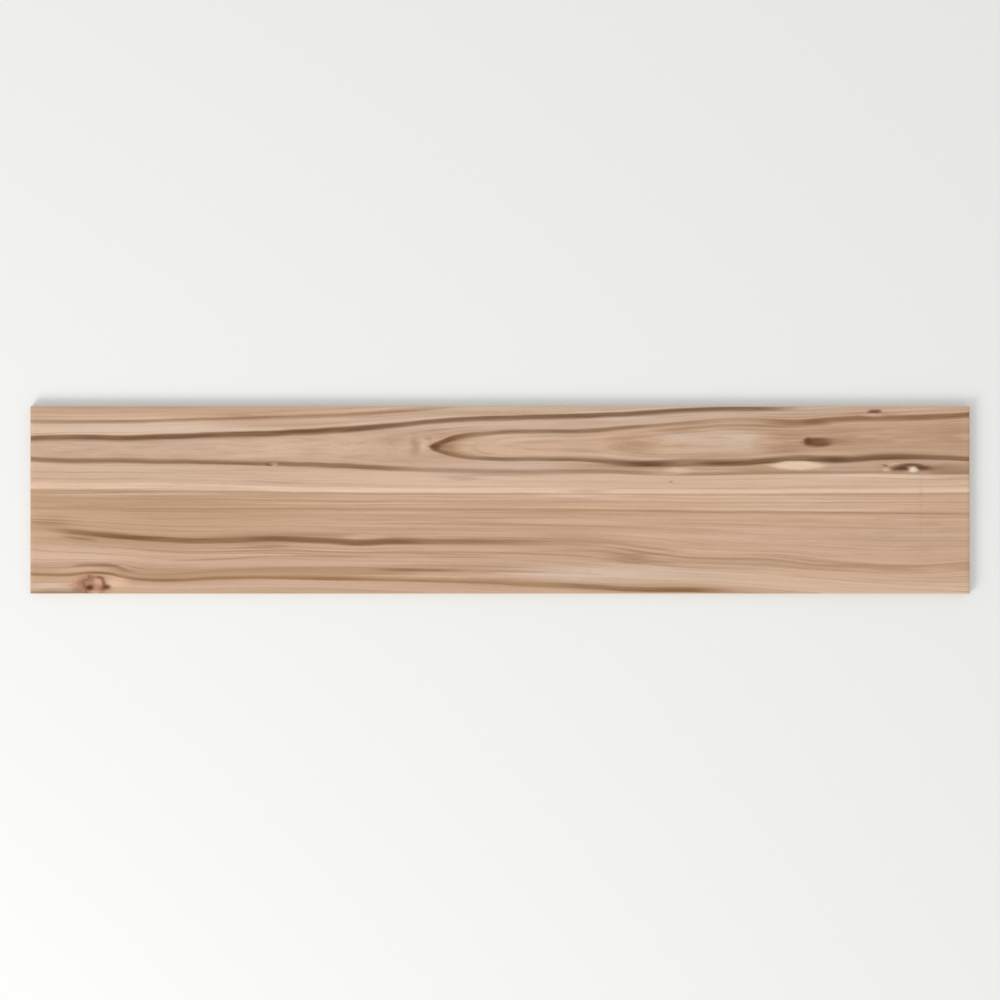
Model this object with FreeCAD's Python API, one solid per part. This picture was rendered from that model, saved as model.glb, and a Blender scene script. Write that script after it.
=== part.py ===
"""Wood look porcelain plank tile: one pressed, fired and rectified plank, in millimetres, +Z up.

The plank lies on its back, with the decorated face up and its length along X. The origin is the
middle of the back, in the plane of the rib crests that touch the adhesive bed or the floor.
It is one solid: a slab ground square on its four edges, with a narrow bevel round the face and
round the back, and a back pressed full of shallow pockets. The ribs left between the pockets are
the key for the adhesive.
"""

import FreeCAD, Part
import math
import os

# The slab, as it leaves the edge grinder
PLANK_LENGTH = 1000.0
PLANK_WIDTH = 200.0
PLANK_THICKNESS = 9.0
FACE_BEVEL = 0.6
BACK_BEVEL = 0.4

# The pressed back: pockets in rows, with a rib between neighbours
POCKET_LENGTH = 30.5
POCKET_WIDTH = 21.5
POCKET_DEPTH = 0.8
POCKET_CORNER_CUT = 2.2
RIB_WIDTH = 2.5
PRESS_DRAFT_DEGREES = 35.0
LEAST_EDGE_BAND = 5.0

SAME_HEIGHT = 1e-6


def edges_at(shape, height):
    """The edges of a shape that lie flat at this height."""
    return [
        edge
        for edge in shape.Edges
        if all(abs(vertex.Z - height) < SAME_HEIGHT for vertex in edge.Vertexes)
    ]


def rectified_slab():
    """The slab with square-ground edges and a bevel round its face and its back."""
    corner = FreeCAD.Vector(-PLANK_LENGTH / 2, -PLANK_WIDTH / 2, 0)
    slab = Part.makeBox(PLANK_LENGTH, PLANK_WIDTH, PLANK_THICKNESS, corner)
    slab = slab.makeChamfer(FACE_BEVEL, edges_at(slab, PLANK_THICKNESS))
    return slab.makeChamfer(BACK_BEVEL, edges_at(slab, 0))


def pocket_outline(inset, height):
    """Outline of a pocket at this height, drawn in by an inset all round.

    It is a rectangle with its corners cut off at 45 degrees. Drawn in by an inset, such a corner
    cut gets shorter by 2 less the square root of 2 times the inset.
    """
    x = POCKET_LENGTH / 2 - inset
    y = POCKET_WIDTH / 2 - inset
    cut = POCKET_CORNER_CUT - (2 - math.sqrt(2)) * inset
    quarter = [(x - cut, y), (x, y - cut)]
    right = quarter + [(cx, -cy) for cx, cy in reversed(quarter)]
    left = [(-cx, cy) for cx, cy in reversed(right)]
    corners = right + left + right[:1]
    return Part.makePolygon([FreeCAD.Vector(cx, cy, height) for cx, cy in corners])


def pocket():
    """What one stud of the press presses out: a shallow pan with leaning sides, narrower at its floor."""
    lean = POCKET_DEPTH * math.tan(math.radians(PRESS_DRAFT_DEGREES))
    mouth = pocket_outline(0, 0)
    floor = pocket_outline(lean, POCKET_DEPTH)
    return Part.makeLoft([mouth, floor], True, True)


def row_of_centres(side, pocket_size):
    """Where the pockets of one row lie along a side of the plank: as many as fit, centred."""
    pitch = pocket_size + RIB_WIDTH
    free = side - 2 * LEAST_EDGE_BAND
    count = int((free + RIB_WIDTH) // pitch)
    return [(index - (count - 1) / 2) * pitch for index in range(count)]


def pressed_pockets():
    """Every pocket of the back, as one compound of separate solids."""
    pressed = pocket()
    along = row_of_centres(PLANK_LENGTH, POCKET_LENGTH)
    across = row_of_centres(PLANK_WIDTH, POCKET_WIDTH)
    return Part.makeCompound(
        [pressed.translated(FreeCAD.Vector(x, y, 0)) for x in along for y in across]
    )


def plank_tile():
    """The finished plank: the slab less its pockets."""
    return rectified_slab().cut(pressed_pockets()).Solids[0]


os.makedirs("parts", exist_ok=True)
plank = plank_tile()
plank.exportStep("parts/plank_tile.step")
print("plank_tile: volume", round(plank.Volume), "mm3, faces", len(plank.Faces), "valid", plank.isValid())
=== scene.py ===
# %% [markdown]
# # A wood look porcelain plank tile
#
# The real plank is one slab of porcelain. Clay powder is pressed flat, with a field of shallow pockets
# on its back. A wood grain is printed on its face under a matt glaze, and pressed into it a little. It
# is fired once, and its four edges are then ground square, with a fine bevel. The CAD part already
# holds the slab, its bevels and its pockets. This file adds what only shows: grain, glaze and wear.

import bmesh
import bpy
import numpy as np
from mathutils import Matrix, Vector, noise


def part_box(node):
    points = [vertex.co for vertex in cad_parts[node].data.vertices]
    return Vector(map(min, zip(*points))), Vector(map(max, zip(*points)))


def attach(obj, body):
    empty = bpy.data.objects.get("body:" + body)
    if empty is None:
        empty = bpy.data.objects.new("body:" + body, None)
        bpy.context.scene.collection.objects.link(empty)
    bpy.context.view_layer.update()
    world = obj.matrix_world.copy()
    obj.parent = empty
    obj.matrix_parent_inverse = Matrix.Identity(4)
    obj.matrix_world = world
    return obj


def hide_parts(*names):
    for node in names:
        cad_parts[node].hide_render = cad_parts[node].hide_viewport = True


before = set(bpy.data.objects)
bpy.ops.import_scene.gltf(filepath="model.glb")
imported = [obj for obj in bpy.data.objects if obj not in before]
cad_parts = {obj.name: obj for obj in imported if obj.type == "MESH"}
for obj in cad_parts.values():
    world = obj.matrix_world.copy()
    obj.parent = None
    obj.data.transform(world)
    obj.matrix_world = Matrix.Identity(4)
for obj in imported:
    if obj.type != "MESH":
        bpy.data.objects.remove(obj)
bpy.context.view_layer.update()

NODE = "plank_tile"
MM = 0.001
node_low, node_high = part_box(NODE)
LENGTH, WIDTH, THICKNESS = node_high - node_low
print("plank from the frame, mm:", [round(side / MM, 2) for side in (LENGTH, WIDTH, THICKNESS)])

# %% [markdown]
# ## Helpers for nodes
#
# Materials and Geometry Nodes are both trees of nodes with sockets. A few helpers keep the trees
# readable: one adds a node and fills its sockets, either with a value or with a link from another
# socket, and the others wrap the nodes that are used most.

# %% Add a node, and fill its sockets
def add(tree, kind, inputs=None, **settings):
    """A new node. Each input is given by name or number, as a value or as a socket to link from."""
    node = tree.nodes.new(kind)
    for name, value in settings.items():
        setattr(node, name, value)
    for key, value in (inputs or {}).items():
        if isinstance(value, bpy.types.NodeSocket):
            tree.links.new(value, node.inputs[key])
        else:
            node.inputs[key].default_value = value
    return node


def calc(tree, operation, a, b=0.0, c=0.0, clamp=False):
    """Output of a Math node."""
    return add(tree, "ShaderNodeMath", {0: a, 1: b, 2: c}, operation=operation, use_clamp=clamp).outputs[0]


def ramp_to(tree, value, start, end, low=0.0, high=1.0):
    """A value mapped smoothly from the range start to end onto the range low to high."""
    ends = {"Value": value, "From Min": start, "From Max": end, "To Min": low, "To Max": high}
    return add(tree, "ShaderNodeMapRange", ends, interpolation_type="SMOOTHSTEP").outputs["Result"]


def blend(tree, factor, a, b, mode="MIX"):
    """Output of a colour Mix node: b over a, by the factor."""
    sockets = {0: factor, 6: a, 7: b}
    return add(tree, "ShaderNodeMix", sockets, data_type="RGBA", blend_type=mode).outputs[2]


def moved(tree, operation, a, b):
    """Output of a Vector Math node."""
    return add(tree, "ShaderNodeVectorMath", {0: a, 1: b}, operation=operation).outputs["Vector"]


def node_group(name, kind, inputs, outputs):
    """A node group with named inputs, given as name: (socket type, default), and named outputs."""
    group = bpy.data.node_groups.new(name, kind)
    for label, (socket_type, default) in inputs.items():
        socket = group.interface.new_socket(label, in_out="INPUT", socket_type=socket_type)
        if default is not None:
            socket.default_value = default
    for label, socket_type in outputs.items():
        group.interface.new_socket(label, in_out="OUTPUT", socket_type=socket_type)
    return group, group.nodes.new("NodeGroupInput").outputs, group.nodes.new("NodeGroupOutput").inputs


FLOAT = "NodeSocketFloat"
VECTOR = "NodeSocketVector"
print("helpers ready")

# %% [markdown]
# ## The way the grain runs
#
# On a sawn board the growth rings show as long lines that run along it, close in a pointed tongue and
# bend round knots. Painting each line by itself would never give the fine streaks between them. So
# the board gets a height map of its rings: a few lines are listed, each a height on the map,
# and a thin plate spline, the bent sheet that passes through all of them with the least bending,
# gives the ring height everywhere else. Every streak, line and groove is later drawn along it.

# %% Listed lines of the grain: ring height, and points along and across the face, all in mm
GRAIN_LINES = {
    "edge line": (-29, [(-485, 83.8), (-383, 84.4), (-300, 87.1), (-214, 89.1), (-146, 92.6), (-80, 96.7)]),
    "upper zone line": (-13, [
        (-500, 66.2), (-380, 66.6), (-300, 70.1), (-225, 72.9), (-160, 76.4), (-100, 80.8),
        (-43, 85.9), (27, 88.9), (90, 90.6), (140, 92.7), (200, 96), (300, 98),
    ]),
    "lower zone line": (-13, [
        (-500, 43.2), (-428, 41.6), (-317, 40.4), (-240, 38), (-161, 35.2), (-105, 33.1), (-43, 31),
        (27, 28.9), (121, 29.1), (172, 27.6), (240, 27.8), (340, 29.4), (405, 29.2), (450, 28), (500, 28.7),
    ]),
    "tongue, upper side": (0, [
        (-71.2, 56.8), (-69.6, 59.2), (-64.5, 61.4), (-59, 63.3), (-49, 66.5), (-32, 69.4), (-14, 71.1),
        (27, 73.4), (84, 73.8), (121, 76.4), (165, 79.3), (213, 83.5), (260, 86), (314, 83),
        (351, 86), (425, 87.7), (460, 89.6), (500, 91.8),
    ]),
    "tongue, lower side": (0, [
        (-71, 54.2), (-65, 51.8), (-50, 48), (-28, 44.6), (-6, 43.4), (47, 43), (88, 42.2),
        (121, 39.5), (150, 38.4), (202, 38.8), (257, 39.6), (293, 41.8), (329, 43.6), (358, 42.1),
        (395, 44.8), (432, 45.5), (474, 43.9), (500, 42.8),
    ]),
    "pale line": (-33, [
        (-500, 16.6), (-380, 16.4), (-264, 13.4), (-116, 11), (27, 10.4), (180, 9.6), (340, 9.9), (500, 10.6),
    ]),
    "brown line": (-53, [
        (-500, -8.5), (-370, -9.7), (-200, -9.7), (-60, -10.5), (80, -10.8), (210, -12.8), (350, -14),
        (500, -14.5),
    ]),
    "low dark line": (-87, [
        (-500, -29.8), (-463, -33.8), (-441, -36.2), (-421, -38), (-384, -41), (-310, -43.5),
        (-236, -41.6), (-178, -44.2), (-152, -46.2), (-120, -44.4), (-43, -44.9), (47, -45.8), (113, -49),
        (150, -54), (210, -61), (285, -62.5), (330, -68), (395, -72), (440, -74.7), (500, -71),
    ]),
    "arch over the knot": (-116, [(-500, -69.8), (-459, -70.5), (-437, -69.1), (-415, -69.3), (-395, -75.6)]),
    "low brown line": (-128, [
        (-500, -79.2), (-460, -79.8), (-437, -77.6), (-415, -78.6), (-391, -83.8), (-354, -85.4),
        (-306, -83.4), (-225, -83), (-153, -84.4), (-80, -86.1), (-24, -88), (28, -90.4), (84, -92),
        (130, -95.6), (204, -96.6), (250, -98),
    ]),
    "crest of the tongue": (9, [(60, 58), (126, 58)]),
    "heart of the tongue": (14, [(200, 61), (300, 62), (400, 65), (500, 66)]),
    "crest before the tip": (-3.5, [(-108, 57)]),
    "smooth crest": (-7.5, [(-180, 56), (-300, 55), (-450, 55.5)]),
}
print("grain lines:", len(GRAIN_LINES), "with", sum(len(line) for _, line in GRAIN_LINES.values()), "points")

# %% The bent sheet through those lines
ALONG_SQUEEZE = 0.2  # grain is far longer than wide, so lengths along it count for less
SHEET_STIFFNESS = 2.0


def bending(a, b):
    """How a point at b bends the sheet at a: the thin plate kernel."""
    squared = ((a[:, None, :] - b[None, :, :]) ** 2).sum(-1)
    return 0.5 * squared * np.log(np.maximum(squared, 1e-12))


def fit_sheet(lines):
    """The points of the lines and the weights that put the sheet through them."""
    squeeze = np.array([ALONG_SQUEEZE, 1.0])
    points = np.array([point for _, line in lines.values() for point in line]) * squeeze
    heights = [height for height, line in lines.values() for _ in line]
    count = len(points)
    flat = np.hstack([np.ones((count, 1)), points])
    bend = bending(points, points) + SHEET_STIFFNESS * np.eye(count)
    system = np.block([[bend, flat], [flat.T, np.zeros((3, 3))]])
    return points, np.linalg.solve(system, np.concatenate([heights, np.zeros(3)]))


sheet_points, sheet_weights = fit_sheet(GRAIN_LINES)


def ring_heights(x, y):
    """Ring height in mm at places given in mm."""
    at = np.stack([x * ALONG_SQUEEZE, y], 1)
    bent = bending(at, sheet_points) @ sheet_weights[:-3]
    return bent + sheet_weights[-3] + at @ sheet_weights[-2:]


print("ring height at the middle of the face:", round(float(ring_heights(np.zeros(1), np.zeros(1))[0]), 1))

# %% [markdown]
# ## The slab's skin
#
# The face needs a fine grid, because the grain is pressed into it, while the edges and the back need
# few faces. All of them are rings of the same points round the plank, so they join with no seam: the
# rim of the grid, the foot of the face bevel, the top of the back bevel and the rim of the back.
# The grid is finer across the grain than along it, as the grain itself is.

# %% Points of the face and of the rings below it
FACE_BEVEL = 0.6 * MM
BACK_BEVEL = 0.4 * MM
COLUMNS = 280
ROWS = 236


def face_grid():
    """Points of the grid as shares of the half sizes, from -1 to 1, and the numbers of its rim in order."""
    across, along = np.mgrid[0 : ROWS + 1, 0 : COLUMNS + 1]
    points = np.stack([along.ravel() * 2 / COLUMNS - 1, across.ravel() * 2 / ROWS - 1], 1)
    number = across * (COLUMNS + 1) + along
    rim = np.concatenate([number[0, :-1], number[:-1, -1], number[-1, :0:-1], number[:0:-1, 0]])
    return points, number, rim


def at_height(shares, inset, z):
    """Those shares as points in metres, on a rectangle drawn in by the inset, at this height."""
    half = np.array([LENGTH / 2 - inset, WIDTH / 2 - inset])
    return np.hstack([shares * half, np.full((len(shares), 1), z)])


def ring_faces(upper, lower):
    """Outward faces between two rings of point numbers."""
    return np.stack([lower, np.roll(lower, -1), np.roll(upper, -1), upper], 1)


shares, number, rim = face_grid()
face_points = at_height(shares, FACE_BEVEL, THICKNESS)
ring_places = [(0, THICKNESS - FACE_BEVEL), (0, BACK_BEVEL), (BACK_BEVEL, 0)]
rings = [rim] + [len(shares) + step * len(rim) + np.arange(len(rim)) for step in range(len(ring_places))]
skin_points = np.vstack([face_points] + [at_height(shares[rim], inset, z) for inset, z in ring_places])
face_quads = np.stack([number[:-1, :-1], number[:-1, 1:], number[1:, 1:], number[1:, :-1]], -1).reshape(-1, 4)
edge_quads = np.vstack([ring_faces(upper, lower) for upper, lower in zip(rings, rings[1:])])
print("face quads:", len(face_quads), "edge quads:", len(edge_quads))

# %% [markdown]
# ## The pressed back
#
# The back is one pocket, pressed again and again. So only one cell is modelled: a pocket with soft
# edges, and the share of rib round it. Geometry Nodes then set the cell on a grid of points, make the
# copies real and merge them into one lattice, which is how a press punch is made too.

# %% One cell of the back: a pocket with its share of the ribs
POCKET_LENGTH = 30.5 * MM
POCKET_WIDTH = 21.5 * MM
POCKET_DEPTH = 0.8 * MM
RIB_WIDTH = 2.5 * MM
CORNER_RADIUS = 2.8 * MM
CORNER_STEPS = 2
PITCH = (POCKET_LENGTH + RIB_WIDTH, POCKET_WIDTH + RIB_WIDTH)
PRESS_DRAFT = np.radians(35)
LEAN = POCKET_DEPTH * np.tan(PRESS_DRAFT)
# The wall's profile, from the rib down to the pocket's floor: inset and depth
WALL_PROFILE = [
    (-0.30 * MM, 0.0),
    (0.06 * MM, 0.12 * MM),
    (LEAN - 0.08 * MM, 0.66 * MM),
    (LEAN + 0.30 * MM, POCKET_DEPTH),
]


def pocket_ring(inset):
    """A rectangle with round corners, drawn in by the inset, as points that run round it."""
    reach = [POCKET_LENGTH / 2 - CORNER_RADIUS, POCKET_WIDTH / 2 - CORNER_RADIUS]
    radius = CORNER_RADIUS - inset
    points = []
    for turn, (side_x, side_y) in enumerate([(1, 1), (-1, 1), (-1, -1), (1, -1)]):
        for step in range(CORNER_STEPS + 1):
            angle = (turn + step / CORNER_STEPS) * np.pi / 2
            corner = (side_x * reach[0], side_y * reach[1])
            points.append((corner[0] + radius * np.cos(angle), corner[1] + radius * np.sin(angle)))
    return points


def pocket_cell():
    """The cell as a mesh object, its rib level with z = 0."""
    shape = bmesh.new()
    loops = [[shape.verts.new((x, y, depth)) for x, y in pocket_ring(inset)] for inset, depth in WALL_PROFILE]
    for outer, inner in zip(loops, loops[1:]):
        for a, b, c, d in zip(outer, outer[1:] + outer[:1], inner[1:] + inner[:1], inner):
            shape.faces.new((a, b, c, d))
    shape.faces.new(loops[-1])
    mouth = loops[0]
    per_corner = CORNER_STEPS + 1
    signs = [(1, 1), (-1, 1), (-1, -1), (1, -1)]
    corners = [shape.verts.new((x * PITCH[0] / 2, y * PITCH[1] / 2, 0)) for x, y in signs]
    for turn, corner in enumerate(corners):
        first = turn * per_corner
        for a, b in zip(mouth[first : first + per_corner], mouth[first + 1 : first + per_corner]):
            shape.faces.new((corner, b, a))
        last, after = mouth[first + per_corner - 1], mouth[(first + per_corner) % len(mouth)]
        shape.faces.new((corner, corners[(turn + 1) % 4], after, last))
    mesh = bpy.data.meshes.new("pocket cell")
    shape.to_mesh(mesh)
    shape.free()
    cell = bpy.data.objects.new("pocket_cell", mesh)
    bpy.context.scene.collection.objects.link(cell)
    return cell


cell = pocket_cell()
print("one cell has", len(cell.data.polygons), "faces")

# %% The lattice, by Geometry Nodes
LEAST_EDGE_BAND = 5.0 * MM
MERGE_WITHIN = 0.01 * MM


def cells_along(side, pitch):
    """As many cells as leave the least band at both ends. The last cell needs no rib after it."""
    return int((side - 2 * LEAST_EDGE_BAND + RIB_WIDTH) // pitch)


def lattice_tree():
    """Cells on a grid of points, made real and merged."""
    inputs = {
        "Geometry": ("NodeSocketGeometry", None),
        "Cell": ("NodeSocketObject", None),
        "Columns": ("NodeSocketInt", 2),
        "Rows": ("NodeSocketInt", 2),
        "Pitch X": (FLOAT, 0.0),
        "Pitch Y": (FLOAT, 0.0),
        "Merge Within": (FLOAT, 0.0),
        "Material": ("NodeSocketMaterial", None),
    }
    outputs = {"Geometry": "NodeSocketGeometry"}
    tree, given, result = node_group("Pressed lattice", "GeometryNodeTree", inputs, outputs)
    spans = [
        calc(tree, "MULTIPLY", calc(tree, "SUBTRACT", given[count], 1.0), given[pitch])
        for count, pitch in (("Columns", "Pitch X"), ("Rows", "Pitch Y"))
    ]
    counts = {"Vertices X": given["Columns"], "Vertices Y": given["Rows"]}
    sizes = {"Size X": spans[0], "Size Y": spans[1]}
    points = add(tree, "GeometryNodeMeshGrid", counts | sizes).outputs["Mesh"]
    shape = add(tree, "GeometryNodeObjectInfo", {"Object": given["Cell"]}).outputs["Geometry"]
    placed = {"Points": points, "Instance": shape}
    copies = add(tree, "GeometryNodeInstanceOnPoints", placed).outputs["Instances"]
    real = add(tree, "GeometryNodeRealizeInstances", {"Geometry": copies}).outputs["Geometry"]
    joined = {"Geometry": real, "Distance": given["Merge Within"]}
    whole = add(tree, "GeometryNodeMergeByDistance", joined).outputs["Geometry"]
    dressed = add(tree, "GeometryNodeSetMaterial", {"Geometry": whole, "Material": given["Material"]})
    tree.links.new(dressed.outputs["Geometry"], result["Geometry"])
    return tree


def run_tree(carrier, tree, values):
    """Runs a tree on an object and returns the result as a plain mesh."""
    modifier = carrier.modifiers.new(tree.name, "NODES")
    modifier.node_group = tree
    for item in tree.interface.items_tree:
        if item.in_out == "INPUT" and item.name in values:
            modifier[item.identifier] = values[item.name]
    bpy.context.view_layer.update()
    seen = carrier.evaluated_get(bpy.context.evaluated_depsgraph_get())
    mesh = bpy.data.meshes.new_from_object(seen)
    carrier.modifiers.remove(modifier)
    return mesh


pressed_back = bpy.data.materials.new("pressed_back")
lattice_size = (cells_along(LENGTH, PITCH[0]), cells_along(WIDTH, PITCH[1]))
carrier = bpy.data.objects.new("lattice", bpy.data.meshes.new("lattice"))
bpy.context.scene.collection.objects.link(carrier)
lattice = run_tree(carrier, lattice_tree(), {
    "Cell": cell,
    "Columns": lattice_size[0],
    "Rows": lattice_size[1],
    "Pitch X": PITCH[0],
    "Pitch Y": PITCH[1],
    "Merge Within": MERGE_WITHIN,
    "Material": pressed_back,
})
for helper in (cell, carrier):
    bpy.data.objects.remove(helper)
print("lattice of", lattice_size, "pockets:", len(lattice.polygons), "faces")

# %% [markdown]
# ## One closed skin
#
# Between the rim of the back, with its many points, and the lattice, with few, lies a flat band. It is
# filled side by side like a zip: two rows of teeth, and each new triangle takes the next tooth of
# whichever row lags behind. Then the lattice is merged on, and the skin is closed.

# %% The flat band round the lattice
def zip_rows(outer, inner, places, axis):
    """Triangles between two rows of point numbers that both run along an axis."""
    triangles = []
    i = j = 0
    way = 1 if places[outer[-1]][axis] > places[outer[0]][axis] else -1
    while i < len(outer) - 1 or j < len(inner) - 1:
        inner_next = places[inner[j + 1]][axis] * way if j < len(inner) - 1 else np.inf
        outer_next = places[outer[i + 1]][axis] * way if i < len(outer) - 1 else np.inf
        if outer_next <= inner_next:
            triangles.append((outer[i], inner[j], outer[i + 1]))
            i += 1
        else:
            triangles.append((outer[i], inner[j], inner[j + 1]))
            j += 1
    return triangles


def lattice_rim():
    """The lattice's outer points as places that run round it, like the rim of the back."""
    half = [count * pitch / 2 for count, pitch in zip(lattice_size, PITCH)]
    steps = [np.linspace(-reach, reach, count + 1) for reach, count in zip(half, lattice_size)]
    front = [(x, -half[1]) for x in steps[0][:-1]]
    right = [(half[0], y) for y in steps[1][:-1]]
    back = [(x, half[1]) for x in steps[0][:0:-1]]
    left = [(-half[0], y) for y in steps[1][:0:-1]]
    return [front, right, back, left]


inner_sides = lattice_rim()
inner_points = [(x, y, 0.0) for side in inner_sides for x, y in side]
places = np.vstack([skin_points, inner_points])
inner_rim = len(skin_points) + np.arange(len(inner_points))
band = []
outer_start = inner_start = 0
for side, inner_side in enumerate(inner_sides):
    outer_count = COLUMNS if side % 2 == 0 else ROWS
    outer = [rings[-1][(outer_start + k) % len(rim)] for k in range(outer_count + 1)]
    inner = [inner_rim[(inner_start + k) % len(inner_rim)] for k in range(len(inner_side) + 1)]
    band += zip_rows(outer, inner, places, side % 2)
    outer_start += outer_count
    inner_start += len(inner_side)
print("band triangles:", len(band))

# %% Skin, with the grain's coordinates kept on its points
FACE, EDGE, BACK = range(3)  # the order of the materials
WAVE = (0.6, 75.0, 16.0)  # height, length and width in mm of the slow waves in the grain
RIPPLE = (0.25, 26.0, 6.0)


def waves(along, ring, size):
    """Waves in the ring height, so that no line runs ruled between the chosen points."""
    height, length, width = size
    return [noise.noise((x / length, r / width, height)) * height for x, r in zip(along, ring)]


def ring_steepness(along, ring, across):
    """How fast the ring height changes over the face: low where rings lie wide, as at a tongue's tip."""
    on_grid = ring[: len(shares)].reshape(ROWS + 1, COLUMNS + 1)
    rises = np.gradient(on_grid, across[:: COLUMNS + 1][: ROWS + 1], along[: COLUMNS + 1])
    return np.hypot(*rises).ravel()


def plank_skin():
    """The mesh of face, edges and band, with each point's grain: along, ring height and across, in mm."""
    mesh = bpy.data.meshes.new("plank skin")
    quads = [tuple(quad) for quad in np.vstack([face_quads, edge_quads]).tolist()]
    mesh.from_pydata(places.tolist(), [], quads + [tuple(map(int, corner)) for corner in band])
    kinds = [FACE] * len(face_quads) + [EDGE] * len(edge_quads) + [BACK] * len(band)
    mesh.polygons.foreach_set("material_index", kinds)
    along, across = places[:, 0] / MM, places[:, 1] / MM
    ring = ring_heights(along, across)
    ring = ring + waves(along, ring, WAVE) + waves(along, ring, RIPPLE)
    steepness = np.ones(len(places))
    steepness[: len(shares)] = ring_steepness(along, ring, across)
    grain = mesh.attributes.new("grain", "FLOAT_VECTOR", "POINT")
    grain.data.foreach_set("vector", np.stack([along, ring, across], 1).astype(np.float32).ravel())
    steep = mesh.attributes.new("steepness", "FLOAT", "POINT")
    steep.data.foreach_set("value", steepness.astype(np.float32))
    printed = mesh.attributes.new("printed", "FLOAT", "POINT")
    printed.data.foreach_set("value", (np.arange(len(places)) < len(shares)).astype(np.float32))
    return mesh


skin = plank_skin()
print("skin points:", len(skin.vertices), "faces:", len(skin.polygons))

# %% [markdown]
# ## Lines of the print
#
# The dark lines are the late wood of single rings. Each stands for one height on the ring map, with a
# crisp edge towards the bark and a soft one towards the heart, and it fades in and out along the
# board. The same list colours the print and sinks the grooves, as on a plank whose relief is pressed in
# register with its print.

# %% The list of lines: ring height, side of the heart, crisp and soft width, start, end and fade in mm
UPPER, BOTH, LOWER = 1, 0, -1
HEART = 57.3  # mm across, where the tongue points
PRINTED_LINES = [
    ("edge line", -29, UPPER, 2.0, 4.2, -560, -20, 90, 0.68, "line brown"),
    ("upper zone line", -13, UPPER, 3.5, 6.6, -560, -90, 60, 0.97, "dark line"),
    ("upper zone line, dark middle", -13, UPPER, 3.4, 6.4, -280, -110, 50, 0.45, "dark line"),
    ("upper zone line, right", -13, UPPER, 3.0, 5.2, -170, 330, 60, 0.86, "dark line"),
    ("lower zone line", -13, LOWER, 3.3, 4.8, -560, -80, 60, 0.76, "mid brown"),
    ("lower zone line, right", -13, LOWER, 2.4, 4.3, -210, 200, 60, 0.62, "line brown"),
    ("lower zone line, far right", -13, LOWER, 2.0, 3.4, 170, 560, 40, 0.54, "line brown"),
    ("soft tip of the tongue", 0, BOTH, 3.0, 12.0, -130, 0, 60, 0.6, "line brown"),
    ("tip of the tongue, upper arm", 0, UPPER, 3.2, 6.6, -130, 0, 60, 0.84, "deep brown"),
    ("tip of the tongue, lower arm", 0, LOWER, 2.4, 4.6, -130, -10, 60, 0.6, "deep brown"),
    ("tongue, lower side", 0, LOWER, 2.6, 4.2, -56, 150, 50, 0.78, "dark line"),
    ("belly of the tongue", 0, LOWER, 3.9, 6.6, 88, 222, 60, 1.0, "deepest brown"),
    ("tongue, lower right", 0, LOWER, 4.0, 6.6, 158, 470, 80, 0.94, "deep brown"),
    ("tongue, lower far right", 0, LOWER, 3.2, 5.2, 360, 610, 60, 0.74, "deep brown"),
    ("tongue, upper side", 0, UPPER, 2.7, 4.5, -60, 195, 70, 0.74, "dark line"),
    ("tongue, upper middle", 0, UPPER, 2.2, 4.6, 120, 320, 60, 0.3, "line brown"),
    ("tongue, upper right", 0, UPPER, 3.2, 5.6, 262, 560, 50, 0.8, "line brown"),
    ("tongue, upper far right", 0, UPPER, 3.4, 4.4, 395, 620, 50, 0.6, "mid brown"),
    ("inside the tongue", 4.6, UPPER, 1.8, 3.4, 130, 330, 60, 0.68, "thin line"),
    ("under the pale line", -37.2, LOWER, 1.0, 1.4, -600, 600, 40, 0.4, "thin line"),
    ("second under the pale line", -44.5, LOWER, 1.0, 1.6, -600, 600, 40, 0.35, "thin line"),
    ("brown line", -53, LOWER, 1.6, 2.6, -600, 600, 40, 0.5, "thin line"),
    ("low dark line", -87, LOWER, 3.4, 5.8, -492, -60, 50, 0.9, "mid brown"),
    ("low dark line, tail", -87, LOWER, 3.2, 5.6, -160, 85, 150, 0.85, "mid brown"),
    ("lower strand", -92.2, LOWER, 1.8, 3.0, -472, -424, 16, 0.6, "line brown"),
    ("fan, first", -84.2, LOWER, 1.2, 2.2, 70, 220, 60, 0.3, "thin line"),
    ("fan, second", -88.3, LOWER, 1.4, 2.6, 60, 330, 80, 0.42, "thin line"),
    ("fan, third", -91.6, LOWER, 1.4, 2.6, 60, 440, 70, 0.4, "thin line"),
    ("below the dark line", -97, LOWER, 1.4, 2.4, -420, 200, 60, 0.5, "thin line"),
    ("arch over the knot", -116, LOWER, 2.0, 4.0, -560, -370, 60, 0.32, "warm line"),
    ("arch, dark middle", -116, LOWER, 1.8, 3.2, -462, -380, 20, 0.66, "line brown"),
    ("short dark streak", -116.5, LOWER, 1.8, 3.2, -150, -20, 50, 0.75, "line brown"),
    ("low brown line", -128, LOWER, 2.1, 3.4, -560, -110, 60, 0.86, "warm line"),
    ("low brown line over the knot", -128, LOWER, 1.6, 2.6, -446, -404, 14, 0.55, "line brown"),
    ("low brown line, dark start", -128, LOWER, 1.8, 2.8, -404, -330, 24, 0.45, "line brown"),
    ("low brown line, middle", -128, LOWER, 2.2, 3.4, -240, 90, 60, 0.76, "warm line"),
    ("low brown line, right", -128, LOWER, 2.9, 4.8, 30, 260, 60, 0.96, "line brown"),
]
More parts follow.
